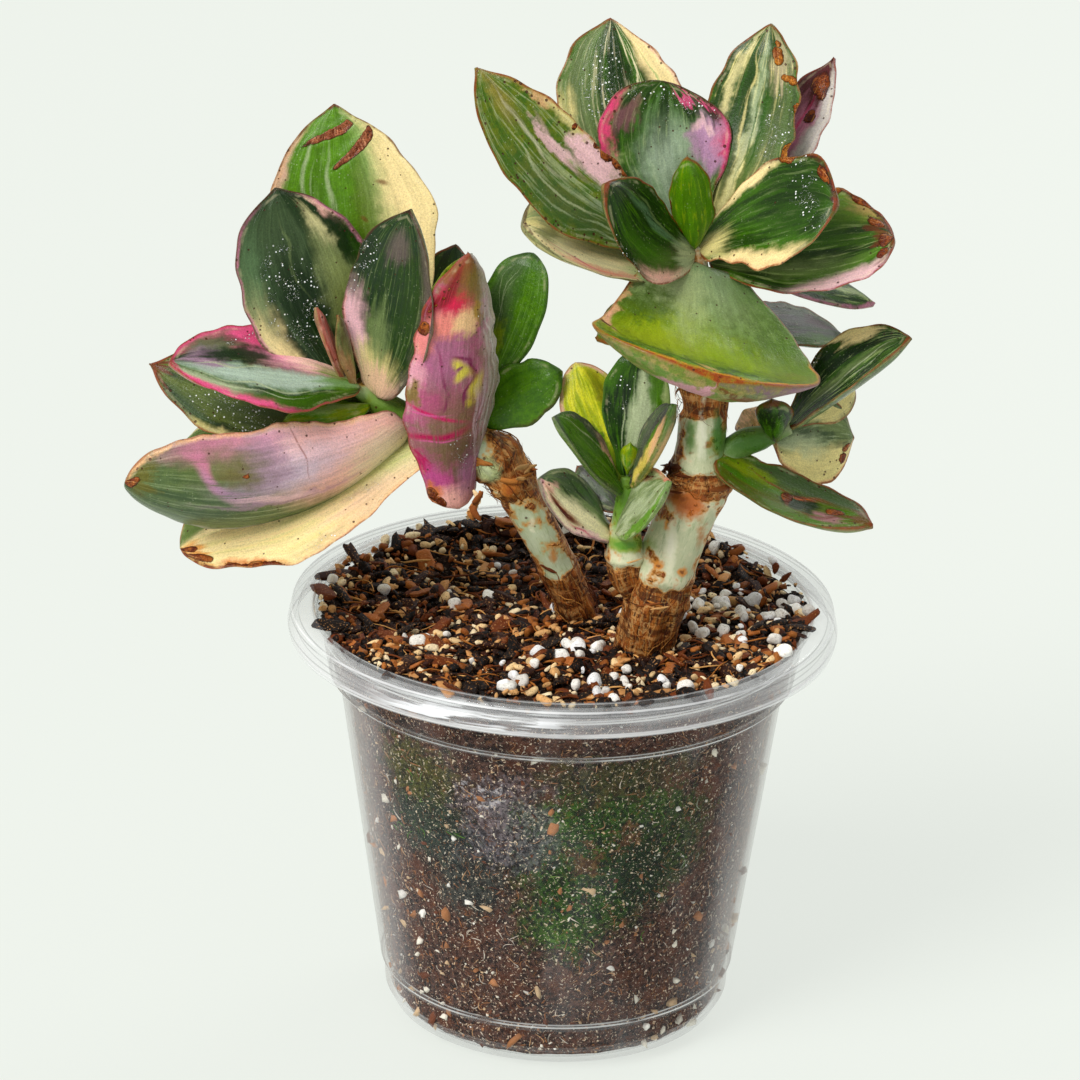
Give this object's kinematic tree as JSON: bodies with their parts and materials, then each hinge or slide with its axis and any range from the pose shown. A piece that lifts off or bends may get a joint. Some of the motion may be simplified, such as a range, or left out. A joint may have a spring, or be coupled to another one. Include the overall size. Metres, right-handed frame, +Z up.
{
  "type": "variegated jade plant in a clear pot",
  "caption": "Potted trumpet jade: fleshy spoon-shaped variegated leaves in two heads on branching woody stems, growing in bark and perlite in a clear tapered nursery pot.",
  "frame": {"origin": "centre of the flat underside of the pot", "axes": "+Z up along the pot's axis, -Y the front that shows both leaf heads, +X to the right seen from the front"},
  "size_m": [0.1434, 0.1048, 0.1982],
  "materials": {
    "clear_plastic": "gloss",
    "potting_mix": "matte",
    "stem_bark": "matte",
    "green_leaf": "satin",
    "dark_leaf": "satin",
    "cream_leaf": "satin",
    "lime_leaf": "satin",
    "pink_leaf": "satin",
    "grey_leaf": "satin"
  },
  "bodies": {
    "root": {"left_leaf_back": "green_leaf", "left_leaf_back_low": "green_leaf", "left_leaf_behind": "dark_leaf", "left_leaf_between": "lime_leaf", "left_leaf_bud_left": "pink_leaf", "left_leaf_bud_right": "green_leaf", "left_leaf_centre": "dark_leaf", "left_leaf_front": "pink_leaf", "left_leaf_inner": "green_leaf", "left_leaf_long": "grey_leaf", "left_leaf_narrow": "lime_leaf", "left_leaf_pale": "cream_leaf", "left_leaf_right_high": "green_leaf", "left_leaf_right_low": "green_leaf", "left_leaf_round": "dark_leaf", "left_leaf_shaded": "dark_leaf", "left_leaf_streaked": "dark_leaf", "left_leaf_tall": "green_leaf", "left_leaf_under": "green_leaf", "left_stem": "stem_bark", "middle_leaf_back": "grey_leaf", "middle_leaf_bud": "green_leaf", "middle_leaf_front_left": "green_leaf", "middle_leaf_front_right": "dark_leaf", "middle_leaf_low_left": "cream_leaf", "middle_leaf_low_right": "grey_leaf", "middle_leaf_tall": "green_leaf", "middle_leaf_yellow": "lime_leaf", "pot": "clear_plastic", "right_leaf_back": "green_leaf", "right_leaf_back_low": "green_leaf", "right_leaf_bud": "green_leaf", "right_leaf_centre": "pink_leaf", "right_leaf_edge": "pink_leaf", "right_leaf_far_left": "grey_leaf", "right_leaf_front": "lime_leaf", "right_leaf_inner_left": "dark_leaf", "right_leaf_inner_right": "dark_leaf", "right_leaf_low_left": "cream_leaf", "right_leaf_low_right": "green_leaf", "right_leaf_lower": "dark_leaf", "right_leaf_tall_left": "green_leaf", "right_leaf_tall_right": "cream_leaf", "right_leaf_under_left": "green_leaf", "right_leaf_under_right": "green_leaf", "right_stem": "stem_bark", "side_leaf_back": "green_leaf", "side_leaf_bud": "green_leaf", "side_leaf_long": "dark_leaf", "side_leaf_low": "grey_leaf", "side_leaf_round": "cream_leaf", "side_leaf_small": "cream_leaf", "soil": "potting_mix"}
  },
  "joints": []
}
